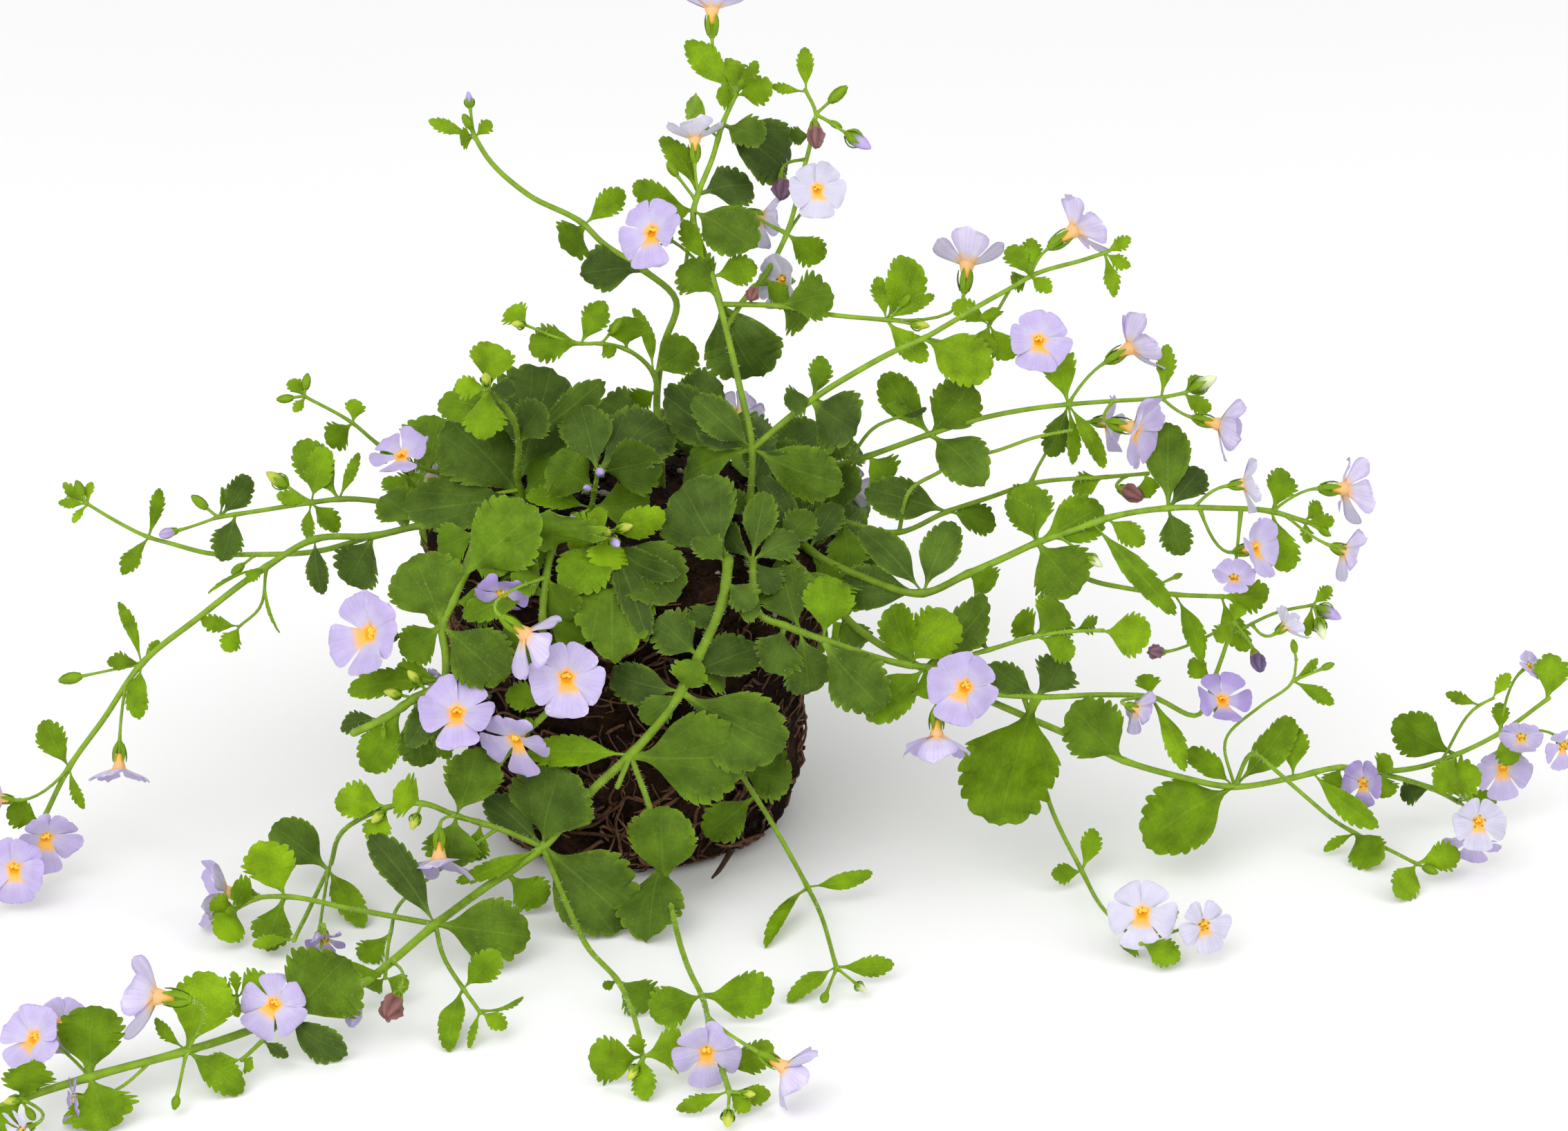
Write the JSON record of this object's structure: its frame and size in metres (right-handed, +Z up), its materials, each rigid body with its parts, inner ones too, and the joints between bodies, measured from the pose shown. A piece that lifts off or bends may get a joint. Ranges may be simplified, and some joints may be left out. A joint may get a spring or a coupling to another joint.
{
  "type": "snowflake bacopa plant",
  "caption": "Flowering snowflake bacopa lifted from its pot: a pot-shaped root ball with leafy stems that hang over its rim and trail on the surface, and small lilac and white blooms.",
  "frame": {"origin": "middle of the root ball's flat foot, on the surface it stands on", "axes": "+Z up, +X to the right along the longest trailing stems, the front with the trailing stems towards -Y"},
  "size_m": [0.4488, 0.3338, 0.2324],
  "materials": {
    "soil": "matt, crumbly",
    "green": "satin, finely hairy",
    "petal_lilac": "matt, velvety",
    "petal_white": "matt, velvety"
  },
  "bodies": {
    "root": {"root_ball": "soil", "stem_long_centre": "green", "bloom_long_centre_1": "petal_lilac", "bloom_long_centre_2": "petal_white", "bloom_long_centre_3": "petal_lilac", "bloom_long_centre_4": "petal_white", "bloom_long_centre_5": "petal_lilac", "bloom_long_centre_6": "petal_lilac", "bloom_long_centre_7": "petal_lilac", "stem_back_left_top": "green", "stem_right_upper": "green", "bloom_right_upper_1": "petal_lilac", "bloom_right_upper_2": "petal_lilac", "bloom_right_upper_3": "petal_lilac", "stem_right_second": "green", "stem_right_main": "green", "bloom_right_main_1": "petal_lilac", "bloom_right_main_2": "petal_lilac", "stem_right_low": "green", "bloom_right_low_1": "petal_lilac", "bloom_right_low_2": "petal_lilac", "bloom_right_low_3": "petal_lilac", "bloom_right_low_4": "petal_white", "stem_right_long": "green", "bloom_right_long_1": "petal_lilac", "bloom_right_long_2": "petal_lilac", "stem_front_main": "green", "bloom_front_main_1": "petal_lilac", "bloom_front_main_2": "petal_lilac", "bloom_front_main_3": "petal_lilac", "bloom_front_main_4": "petal_lilac", "bloom_front_main_5": "petal_lilac", "bloom_front_main_6": "petal_lilac", "bloom_front_main_7": "petal_lilac", "bloom_front_main_8": "petal_lilac", "stem_left_upper": "green", "stem_left_middle": "green", "bloom_left_middle_1": "petal_lilac", "bloom_left_middle_2": "petal_lilac", "bloom_left_middle_3": "petal_lilac", "stem_left_high": "green", "stem_crown_high": "green", "bloom_crown_high_1": "petal_lilac", "stem_crown_left": "green", "bloom_crown_left_1": "petal_lilac", "bloom_crown_left_2": "petal_lilac", "stem_crown_front": "green", "bloom_crown_front_1": "petal_lilac", "bloom_crown_front_2": "petal_lilac", "bloom_crown_front_3": "petal_lilac", "stem_crown_middle": "green", "stem_crown_top": "green", "stem_back_middle": "green", "bloom_back_middle_1": "petal_lilac", "bloom_back_middle_2": "petal_lilac", "stem_back_left": "green", "bloom_back_left_1": "petal_lilac", "stem_back_right": "green", "bloom_back_right_1": "petal_white"}
  },
  "joints": []
}
